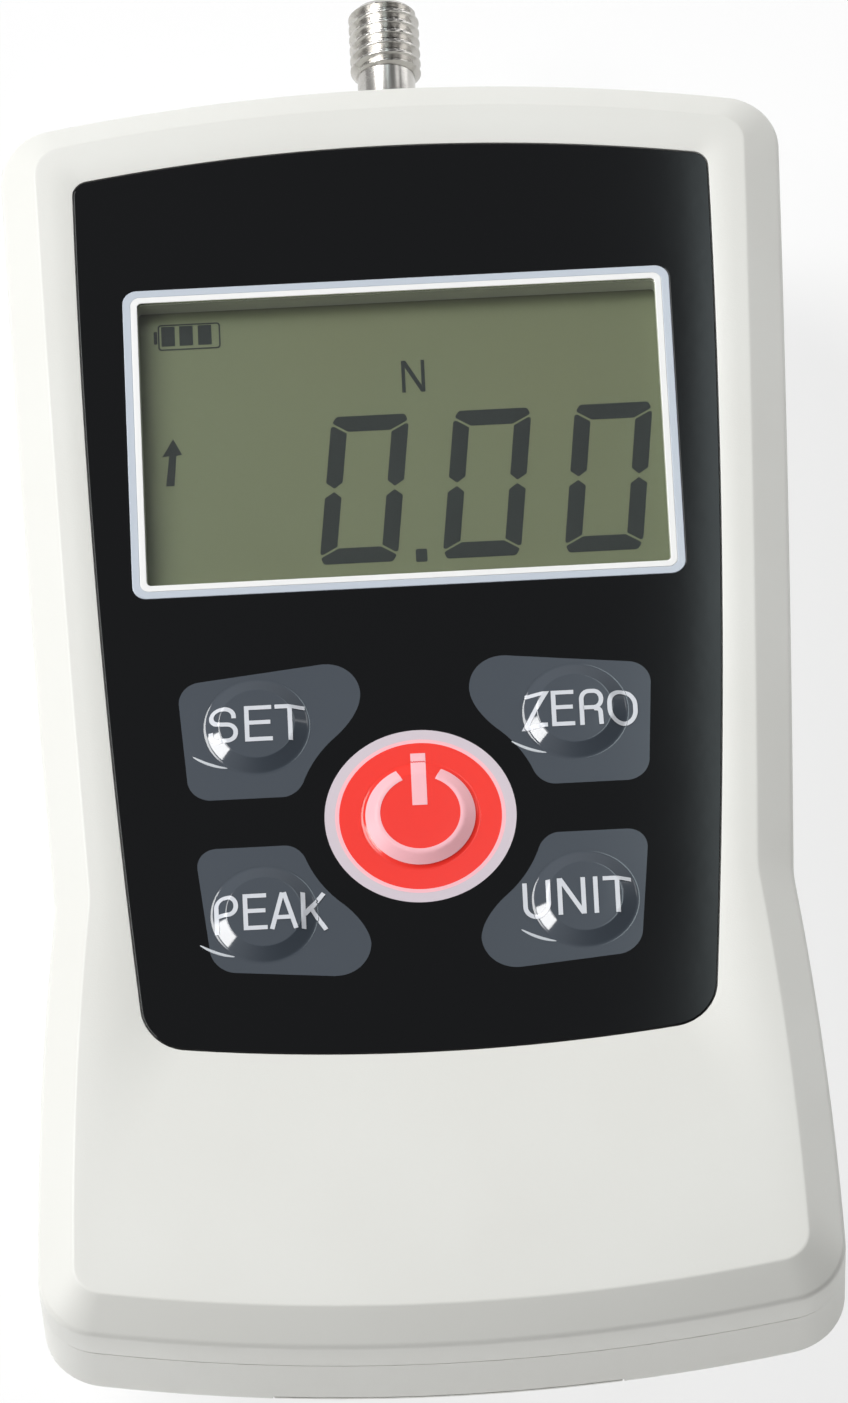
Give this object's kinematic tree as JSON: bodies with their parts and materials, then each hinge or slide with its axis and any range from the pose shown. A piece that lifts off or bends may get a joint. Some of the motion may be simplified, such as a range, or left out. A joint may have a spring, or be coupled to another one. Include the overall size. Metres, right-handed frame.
{
  "type": "digital force gauge",
  "caption": "Handheld digital force gauge with a waisted two-shell case, display window, membrane keys, sliding battery door and a threaded sensing stud.",
  "frame": {"origin": "centre of the bounding box's footprint, on the plane of the flat back that the gauge lies on", "axes": "+Y along the sensing stud, out of the case; +Z out of the face with the display; +X to the right of a reader who has the stud at the top"},
  "size_m": [0.0652, 0.1282, 0.0277],
  "materials": {
    "case_plastic": "fine satin moulded texture, warm light grey",
    "overlay_film": "glossy black printed film",
    "window_clear": "clear gloss with a printed white border",
    "key_film": "glossy slate grey film, raised dome",
    "power_key_film": "glossy red film, raised dome",
    "switch_plastic": "matt black nylon",
    "circuit_board": "green solder mask",
    "bezel_plastic": "matt black plastic",
    "display_glass": "olive reflective display cell",
    "reflector_plastic": "white diffusing plastic",
    "elastomer": "striped conductive elastomer",
    "chip_plastic": "black moulded epoxy",
    "capacitor_can": "bright can",
    "header_plastic": "natural nylon",
    "stud_steel": "turned stainless steel",
    "sensor_aluminium": "milled aluminium",
    "gauge_foil": "amber film with metal grid",
    "screw_steel": "zinc plated steel",
    "insert_brass": "plain brass",
    "battery_jacket": "plain dark steel jacket"
  },
  "bodies": {
    "case": {"battery": "battery_jacket", "battery_header": "header_plastic", "battery_snap": "header_plastic", "board_screws": "screw_steel", "bracket_screws": "screw_steel", "capacitors": "capacitor_can", "case_screws": "screw_steel", "cell_screws": "screw_steel", "converter_chip": "chip_plastic", "display_window": "window_clear", "front_shell": "case_plastic", "graphic_overlay": "overlay_film", "key_switches": "switch_plastic", "lcd_bezel": "bezel_plastic", "lcd_glass": "display_glass", "lcd_reflector": "reflector_plastic", "lcd_strips": "elastomer", "load_cell": "sensor_aluminium", "main_board": "circuit_board", "mount_inserts": "insert_brass", "processor_chip": "chip_plastic", "rear_shell": "case_plastic", "sensor_bracket": "sensor_aluminium", "sensor_header": "header_plastic", "strain_gauges": "gauge_foil"},
    "set_button": {"set_key": "key_film", "set_plunger": "switch_plastic"},
    "zero_button": {"zero_key": "key_film", "zero_plunger": "switch_plastic"},
    "power_button": {"power_key": "power_key_film", "power_plunger": "switch_plastic"},
    "peak_button": {"peak_key": "key_film", "peak_plunger": "switch_plastic"},
    "unit_button": {"unit_key": "key_film", "unit_plunger": "switch_plastic"},
    "stud": {"sensor_stud": "stud_steel", "stud_lock_nut": "stud_steel"},
    "door": {"battery_door": "case_plastic"}
  },
  "joints": [
    {"name": "set_press", "type": "slide", "parent": "case", "child": "set_button", "axis": [0, 0, -1], "range_m": [0, 0.0004], "stiffness_N_per_m": 5000},
    {"name": "zero_press", "type": "slide", "parent": "case", "child": "zero_button", "axis": [0, 0, -1], "range_m": [0, 0.0004], "stiffness_N_per_m": 5000},
    {"name": "power_press", "type": "slide", "parent": "case", "child": "power_button", "axis": [0, 0, -1], "range_m": [0, 0.0004], "stiffness_N_per_m": 5000},
    {"name": "peak_press", "type": "slide", "parent": "case", "child": "peak_button", "axis": [0, 0, -1], "range_m": [0, 0.0004], "stiffness_N_per_m": 5000},
    {"name": "unit_press", "type": "slide", "parent": "case", "child": "unit_button", "axis": [0, 0, -1], "range_m": [0, 0.0004], "stiffness_N_per_m": 5000},
    {"name": "sensor_travel", "type": "slide", "parent": "case", "child": "stud", "axis": [0, 1, 0], "range_m": [-0.0003, 0.0003], "stiffness_N_per_m": 170000, "deforming": ["load_cell", "strain_gauges"]},
    {"name": "battery_door_slide", "type": "slide", "parent": "case", "child": "door", "axis": [0, -1, 0], "range_m": [0, 0.066]}
  ]
}
